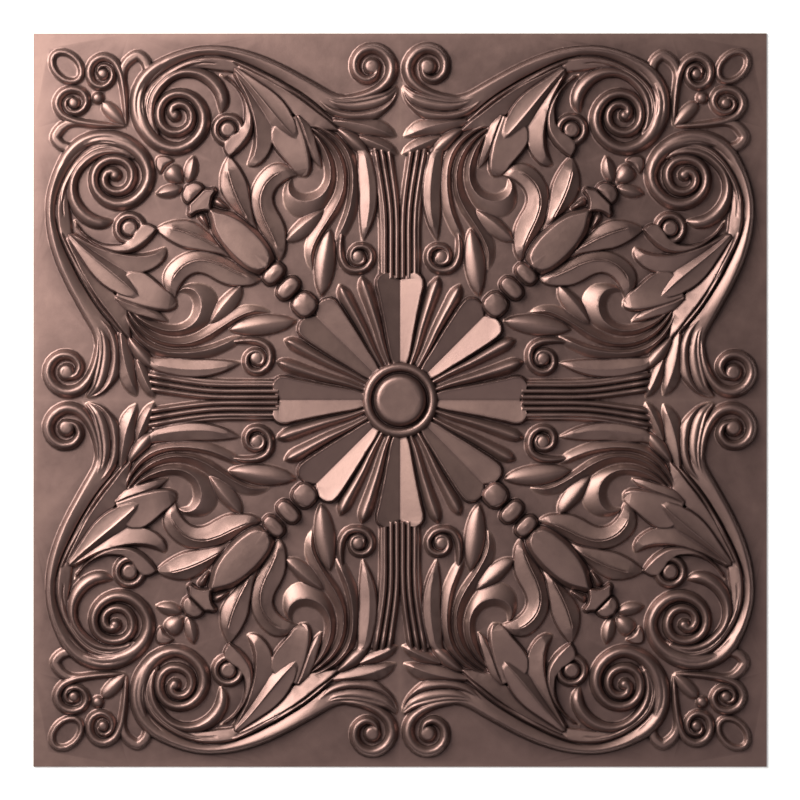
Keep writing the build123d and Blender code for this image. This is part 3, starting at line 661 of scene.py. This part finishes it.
def soften(height, reach):
    """Rounds the pressed sheet: a blur that treats the tile's middle lines as mirrors."""
    cells = reach / CELL
    span = max(1, int(math.ceil(3 * cells)))
    weights = np.exp(-0.5 * (np.arange(-span, span + 1) / cells)**2)
    weights /= weights.sum()
    wide = np.pad(height, span, mode="reflect")
    wide = sum(w * wide[k:k + height.shape[0], :] for k, w in enumerate(weights))
    return sum(w * wide[:, k:k + height.shape[1]] for k, w in enumerate(weights))


def deselect_all():
    """Leaves nothing selected, in object mode."""
    if bpy.context.mode != "OBJECT":
        bpy.ops.object.mode_set(mode="OBJECT")
    bpy.ops.object.select_all(action="DESELECT")


def take_up(piece):
    """Selects this piece alone and makes it the active one."""
    deselect_all()
    piece.select_set(True)
    bpy.context.view_layer.objects.active = piece


def apply_modifier(piece, kind, **settings):
    take_up(piece)
    modifier = piece.modifiers.new(kind.lower(), kind)
    for name, value in settings.items():
        setattr(modifier, name, value)
    bpy.ops.object.modifier_apply(modifier=modifier.name)


def mould_piece():
    """The carving on its table."""
    carve_mould()
    mesh = bpy.data.meshes.new("mould")
    mesh.from_pydata(mould_points, [], mould_faces)
    piece = bpy.data.objects.new("mould", mesh)
    bpy.context.collection.objects.link(piece)
    deselect_all()
    bpy.ops.mesh.primitive_plane_add(size=TABLE_SIZE, location=(0, 0, 0))
    piece.select_set(True)
    bpy.context.view_layer.objects.active = piece
    bpy.ops.object.join()
    return piece


def blank_eighth():
    """A fine square grid over one quarter, cut along the diagonal to an eighth."""
    deselect_all()
    bpy.ops.mesh.primitive_grid_add(x_subdivisions=CELLS, y_subdivisions=CELLS, size=HALF,
                                    location=(HALF / 2, HALF / 2, CLEARANCE))
    piece = bpy.context.object
    bpy.ops.object.transform_apply(location=True, rotation=True, scale=True)
    bpy.ops.object.mode_set(mode="EDIT")
    bpy.ops.mesh.select_all(action="SELECT")
    bpy.ops.mesh.bisect(plane_co=(0, 0, 0), plane_no=(1, -1, 0), clear_outer=True)
    bpy.ops.object.mode_set(mode="OBJECT")
    return piece


def read_points(mesh):
    """The mesh's points, a row for each."""
    flat = np.empty(len(mesh.vertices) * 3)
    mesh.vertices.foreach_get("co", flat)
    return flat.reshape(-1, 3)


def pressed_height(mould):
    """The pressed blank, and the quarter's height map read from it."""
    blank = blank_eighth()
    apply_modifier(blank, "SHRINKWRAP", target=mould, wrap_method="PROJECT", use_project_z=True,
                   use_negative_direction=True, use_positive_direction=False)
    points = read_points(blank.data)
    height = np.zeros((CELLS + 1, CELLS + 1))
    column = np.rint(points[:, 0] / CELL).astype(int)
    row = np.rint(points[:, 1] / CELL).astype(int)
    height[row, column] = points[:, 2]
    height = np.maximum(np.maximum(height, height.T), 0)
    height = soften(without_pinholes(height), FIRST_ROUNDING)
    press_lines(height, creases())
    height = crisped(height)
    lower = np.tril(np.ones_like(height)) > 0
    height = np.where(lower, height, height.T)
    height = np.minimum(soften(height, LAST_ROUNDING), TALLEST)
    return blank, height


def without_pinholes(height):
    """Fills single cells whose neighbours all stand higher, where the press missed the mould."""
    wide = np.pad(height, 1, mode="reflect")
    least_across = np.minimum(wide[:-2, 1:-1], wide[2:, 1:-1])
    least_along = np.minimum(wide[1:-1, :-2], wide[1:-1, 2:])
    return np.maximum(height, np.minimum(least_across, least_along))


def crisped(height):
    """Flares the foot of every form into a narrow cove and sharpens the shoulder of its top."""
    reach = int(FLARE_WIDTH / CELL)
    wide = np.pad(np.minimum(height, FLARE_TALL), reach, mode="reflect")
    flare = np.zeros_like(height)
    size = height.shape[0]
    for j in range(-reach, reach + 1):
        for i in range(-reach, reach + 1):
            away = math.hypot(i, j) * CELL / FLARE_WIDTH
            if 0 < away < 1:
                foot = wide[reach + j:reach + j + size, reach + i:reach + i + size]
                cove = FLARE_TALL * (1 - away)**FLARE_CURVE
                flare = np.maximum(flare, np.where(foot >= FLARE_TALL, cove, 0))
    lift = SHOULDER_GAIN * (height - soften(height, SHOULDER_REACH))
    return np.maximum(height + np.clip(lift, DEEPEST_CUT, HIGHEST_LIFT), flare)


def looked_up(grid, x, y):
    """Values of a quarter's map at points given by their distances from the two middle lines."""
    size = grid.shape[0]
    u = np.clip(np.abs(x) / CELL, 0, size - 1.001)
    v = np.clip(np.abs(y) / CELL, 0, size - 1.001)
    i, j = u.astype(int), v.astype(int)
    fu, fv = u - i, v - j
    return ((grid[j, i] * (1 - fu) + grid[j, i + 1] * fu) * (1 - fv)
            + (grid[j + 1, i] * (1 - fu) + grid[j + 1, i + 1] * fu) * fv)


def border_of(triangles):
    """The points on the eighth's three sides, where an edge has one triangle only."""
    edge_use = {}
    for a, b, c in triangles.tolist():
        for pair in ((a, b), (b, c), (c, a)):
            key = (min(pair), max(pair))
            edge_use[key] = edge_use.get(key, 0) + 1
    return np.array(sorted({v for key, times in edge_use.items() if times == 1 for v in key}))


def put_on_its_sides(points, border):
    """Moves the border's points exactly onto the eighth's sides, so that its mirror images meet."""
    x, y = points[border, 0], points[border, 1]
    near = np.argmin(np.stack([np.abs(x), np.abs(x - y), np.abs(y - HALF)]), axis=0)
    points[border, 0] = np.where(near == 0, 0, np.where(near == 1, (x + y) / 2, x))
    points[border, 1] = np.where(near == 1, (x + y) / 2, np.where(near == 2, HALF, y))
    crowd = np.hypot(points[border, 0] - HALF, points[border, 1] - HALF) < CORNER_CATCH
    points[border[crowd], :2] = HALF


def without_seam_slivers(points, triangles):
    """Leaves out each triangle whose three points lie on the same side of the eighth."""
    x, y = points[:, 0], points[:, 1]
    sides = (x == 0) * 1 + (x == y) * 2 + (y == HALF) * 4
    return triangles[np.bitwise_and.reduce(sides[triangles], axis=1) == 0]


def thinned(blank, heights, count):
    """Points and triangles of the eighth, at these heights, with so many faces."""
    piece = blank.copy()
    piece.data = blank.data.copy()
    bpy.context.collection.objects.link(piece)
    points = read_points(piece.data)
    points[:, 2] = heights
    piece.data.vertices.foreach_set("co", points.ravel())
    whole = len(piece.data.loops) - 2 * len(piece.data.polygons)
    apply_modifier(piece, "DECIMATE", ratio=count / whole, use_collapse_triangulate=True)
    points = read_points(piece.data)
    corners = np.empty(len(piece.data.loops), int)
    piece.data.loops.foreach_get("vertex_index", corners)
    triangles = corners.reshape(-1, 3)
    put_on_its_sides(points, border_of(triangles))
    bpy.data.objects.remove(piece)
    return points, without_seam_slivers(points, triangles)


def turned_over(points, triangles):
    """The eighth and its seven mirror images."""
    all_points, all_triangles = [], []
    for swap in (False, True):
        for sx in (1, -1):
            for sy in (1, -1):
                plan = points[:, [1, 0, 2]] if swap else points
                flipped = swap ^ (sx < 0) ^ (sy < 0)
                facing_up = triangles[:, ::-1] if flipped else triangles
                all_triangles.append(facing_up + len(points) * len(all_points))
                all_points.append(plan * (sx, sy, 1))
    return np.concatenate(all_points), np.concatenate(all_triangles)


def formed_tile():
    """The sheet: face and back pressed, thinned, mirrored, and joined round the rim."""
    mould = mould_piece()
    blank, height = pressed_height(mould)
    points = read_points(blank.data)
    heights = looked_up(height, points[:, 0], points[:, 1])
    face_points, face_triangles = turned_over(*thinned(blank, heights, FACE_TRIANGLES))
    back_points, back_triangles = turned_over(*thinned(blank, heights, BACK_TRIANGLES))
    face_points[:, 2] = np.minimum(face_points[:, 2], TALLEST)
    back_points[:, 2] = np.maximum(back_points[:, 2], 0)
    bpy.data.objects.remove(blank)
    bpy.data.objects.remove(mould)
    face_points = face_points + (0, 0, SHEET)
    mesh = bpy.data.meshes.new("pressed_sheet")
    everything = np.concatenate([face_points, back_points])
    faces = face_triangles.tolist() + (back_triangles[:, ::-1] + len(face_points)).tolist()
    mesh.from_pydata((everything * METRES_IN_A_MM).tolist(), [], faces)
    bm = bmesh.new()
    bm.from_mesh(mesh)
    bmesh.ops.remove_doubles(bm, verts=bm.verts, dist=SAME_PLACE)
    rim_from = (HALF - RIM_CATCH) * METRES_IN_A_MM
    rim = [edge for edge in bm.edges if edge.is_boundary
           and all(max(abs(v.co.x), abs(v.co.y)) > rim_from for v in edge.verts)]
    bmesh.ops.bridge_loops(bm, edges=rim)
    bmesh.ops.triangulate(bm, faces=bm.faces[:])
    bm.to_mesh(mesh)
    bm.free()
    piece = bpy.data.objects.new("pressed_sheet", mesh)
    bpy.context.collection.objects.link(piece)
    shade_like_the_mould(mesh, height)
    mark_relief_and_painted_light(mesh, height)
    return piece


def shade_like_the_mould(mesh, height):
    """Gives the sheet the mould's own smooth normals, as far as each facet allows."""
    along_y, along_x = np.gradient(height, CELL)
    points = read_points(mesh) * MM_IN_A_METRE
    x, y = points[:, 0], points[:, 1]
    slope_x = looked_up(along_x, x, y) * np.sign(x)
    slope_y = looked_up(along_y, x, y) * np.sign(y)
    normals = np.column_stack([-slope_x, -slope_y, np.ones(len(points))])
    normals /= np.linalg.norm(normals, axis=1)[:, None]
    corners = np.empty(len(mesh.loops), int)
    mesh.loops.foreach_get("vertex_index", corners)
    flat = np.empty(len(mesh.polygons) * 3)
    mesh.polygons.foreach_get("normal", flat)
    facing = flat.reshape(-1, 3)
    own = np.repeat(facing, 3, axis=0)
    smooth = normals[corners] * np.where(own[:, 2:] < 0, -1, 1)
    turned_away = np.arccos(np.clip(np.sum(own * smooth, axis=1), -1, 1))
    triangles = points[corners].reshape(-1, 3, 3)
    longest = np.linalg.norm(triangles - np.roll(triangles, 1, axis=1), axis=2).max(axis=1)
    allowed = np.minimum(FACET_BEND / np.maximum(longest, 0.01), WIDEST_BEND)
    allowed[(np.abs(facing[:, 2]) > LEVEL_FACING) & (longest > LEVEL_SPAN)] = 0
    share = np.minimum(1, np.repeat(allowed, 3) / np.maximum(turned_away, 1e-6))[:, None]
    blended = own * (1 - share) + smooth * share
    blended /= np.linalg.norm(blended, axis=1)[:, None]
    mesh.shade_smooth()
    mesh.normals_split_custom_set(blended.tolist())


def mark_relief_and_painted_light(mesh, height):
    """Marks how high, how near a form's foot and how hollow each point is: masks for a painted
    highlight along each foot and painted shade in the hollows.
    """
    points = read_points(mesh) * MM_IN_A_METRE
    low, high = FOOT_HEIGHTS
    # the band at each form's foot, painted lighter as a painted highlight
    foot_highlight_mask = soften(((height > low) & (height < high)).astype(float), FOOT_ROUNDING)
    for name, grid in (("relief", height / TALLEST), ("foot", foot_highlight_mask),
                       ("hollow", soften(height, HOLLOW_REACH) - height)):
        mark = mesh.attributes.new(name, "FLOAT", "POINT")
        values = looked_up(grid, points[:, 0], points[:, 1])
        mark.data.foreach_set("value", values.astype(np.float32))


class Value:
    """A socket that shader maths can be written with."""

    def __init__(self, nodes, socket):
        self.nodes = nodes
        self.socket = socket

    def maths(self, operation, *others):
        return self.nodes.add("ShaderNodeMath", {"operation": operation}, [self, *others])

    def __add__(self, other):
        return self.maths("ADD", other)

    __radd__ = __add__

    def __sub__(self, other):
        return self.maths("SUBTRACT", other)

    def __rsub__(self, other):
        return self.nodes.add("ShaderNodeMath", {"operation": "SUBTRACT"}, [other, self])

    def __mul__(self, other):
        return self.maths("MULTIPLY", other)

    __rmul__ = __mul__

    def clamped(self):
        settings = {"operation": "MULTIPLY", "use_clamp": True}
        return self.nodes.add("ShaderNodeMath", settings, [self, 1.0])


class Nodes:
    """Adds the nodes of one material."""

    def __init__(self, name):
        self.material = bpy.data.materials.new(name)
        self.material.use_nodes = True
        self.tree = self.material.node_tree
        self.shader = self.tree.nodes["Principled BSDF"]

    def add(self, kind, settings=None, inputs=(), output=0):
        """One node: its settings, a ramp's stops among them, and its sockets' values or links."""
        node = self.tree.nodes.new(kind)
        for name, value in (settings or {}).items():
            if name == "stops":
                ramp = node.color_ramp
                while len(ramp.elements) < len(value):
                    ramp.elements.new(0.5)
                for stop, (place, colour) in zip(ramp.elements, value):
                    stop.position = place
                    stop.color = colour
            else:
                setattr(node, name, value)
        pairs = inputs.items() if isinstance(inputs, dict) else enumerate(inputs)
        for key, value in pairs:
            self.feed(node.inputs[key], value)
        return Value(self, node.outputs[output])

    def feed(self, socket, value):
        if isinstance(value, Value):
            self.tree.links.new(value.socket, socket)
        else:
            socket.default_value = value

    def surface(self, **inputs):
        for name, value in inputs.items():
            self.feed(self.shader.inputs[name.replace("_", " ")], value)


def antique_copper():
    """Satin copper, painted lighter along each form's foot as a highlight, painted darker in hollows as
    shade and on ridges to dull their highlights, and mottled at random.
    """
    m = Nodes("antique_copper")
    place = m.add("ShaderNodeTexCoord", output="Object")
    relief, hollow, foot = (m.add("ShaderNodeAttribute", {"attribute_name": name}, output="Fac")
                            for name in ("relief", "hollow", "foot"))

    def noise(scale, detail, roughness):
        return m.add("ShaderNodeTexNoise", inputs={"Vector": place, "Scale": scale, "Detail": detail,
                                                   "Roughness": roughness})

    clouds = noise(scale=7.0, detail=4.0, roughness=0.6)
    mottle = noise(scale=70.0, detail=5.0, roughness=0.65)
    speck = noise(scale=900.0, detail=3.0, roughness=0.6)
    sunk = hollow.clamped()
    proud = (hollow * -1.0).clamped()
    plain_tone = 0.52
    plain_roughness = 0.47
    # Painted light: a painted highlight along each form's foot, painted shade in the hollows, and
    # ridges painted darker to dull their highlights; the clouds and mottle are random tone.
    painted_light_and_mottle = (plain_tone + foot * 0.4 - sunk * 0.8 - proud * 0.3
            + (clouds - 0.5) * 0.4 + (mottle - 0.5) * 0.2)
    dark_brown = (0.05, 0.027, 0.026, 1)
    brown_copper = (0.19, 0.115, 0.104, 1)
    pale_copper = (0.36, 0.23, 0.195, 1)
    # The ramp runs from the dark of the painted shade, through plain copper, to the pale of the painted
    # highlight.
    stops = [(0.0, dark_brown), (0.45, brown_copper), (1.0, pale_copper)]
    tone = m.add("ShaderNodeValToRGB", {"stops": stops}, [painted_light_and_mottle.clamped()])
    shine = plain_roughness + (mottle - 0.5) * 0.12 - relief * 0.03 + (clouds - 0.5) * 0.08
    grain = m.add("ShaderNodeBump", inputs={"Strength": 0.08, "Distance": 0.0003, "Height": speck})
    ripple = m.add("ShaderNodeBump", inputs={"Strength": 0.06, "Distance": 0.002, "Height": mottle,
                                             "Normal": grain})
    m.surface(Base_Color=tone, Metallic=0.9, Roughness=shine.clamped(), Normal=ripple,
              Coat_Weight=0.18, Coat_Roughness=0.5)
    return m.material


def pale_floor():
    """A bright, even ground that throws little colour."""
    m = Nodes("pale_floor")
    place = m.add("ShaderNodeTexCoord", output="Object")
    clouds = m.add("ShaderNodeTexNoise", inputs={"Vector": place, "Scale": 3.0, "Detail": 2.0})
    stops = [(0.0, (0.86, 0.86, 0.86, 1)), (1.0, (0.9, 0.9, 0.9, 1))]
    tone = m.add("ShaderNodeValToRGB", {"stops": stops}, [clouds])
    m.surface(Base_Color=tone, Roughness=0.9, Emission_Color=(1, 1, 1, 1), Emission_Strength=0.3)
    return m.material


def soft_light(name, place, size, power, colour):
    """A round light that faces the tile's middle."""
    data = bpy.data.lights.new(name, "AREA")
    data.shape = "DISK"
    data.size = size
    data.energy = power
    data.color = colour
    lamp = bpy.data.objects.new(name, data)
    bpy.context.collection.objects.link(lamp)
    lamp.location = place
    lamp.rotation_euler = (-Vector(place)).to_track_quat("-Z", "Y").to_euler()


def studio():
    below_the_tile = -0.0005
    deselect_all()
    bpy.ops.mesh.primitive_plane_add(size=6, location=(0, 0, below_the_tile))
    floor = bpy.context.object
    floor.name = "pale_ground"
    bpy.ops.object.transform_apply(location=True, rotation=True, scale=True)
    floor.data.materials.append(pale_floor())
    soft_light("key_upper_left", (-1.0, 0.68, 0.95), size=1.3, power=63, colour=(1.0, 0.975, 0.9))
    soft_light("fill_below", (0.25, -0.95, 2.0), size=1.4, power=3.5, colour=(1.0, 0.97, 0.98))
    world = bpy.data.worlds.new("studio_air")
    bpy.context.scene.world = world
    world.use_nodes = True
    sky = world.node_tree.nodes["Background"]
    sky.inputs["Color"].default_value = (1, 1, 1, 1)
    sky.inputs["Strength"].default_value = 0.14
    bpy.context.scene.view_settings.view_transform = "Standard"


def camera_above():
    """Looks straight down, so that the frame takes in the width that the photo does."""
    frame_width = 0.6564
    height = 2.6
    width_measured_at = 0.006
    data = bpy.data.cameras.new("camera_above")
    data.sensor_width = 36
    data.lens = data.sensor_width * (height - width_measured_at) / frame_width
    camera = bpy.data.objects.new("camera_above", data)
    bpy.context.collection.objects.link(camera)
    camera.location = (0, 0, height)
    bpy.context.scene.camera = camera


tile = formed_tile()
tile.data.materials.append(antique_copper())
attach(tile, "root")
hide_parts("tile")

studio()
camera_above()
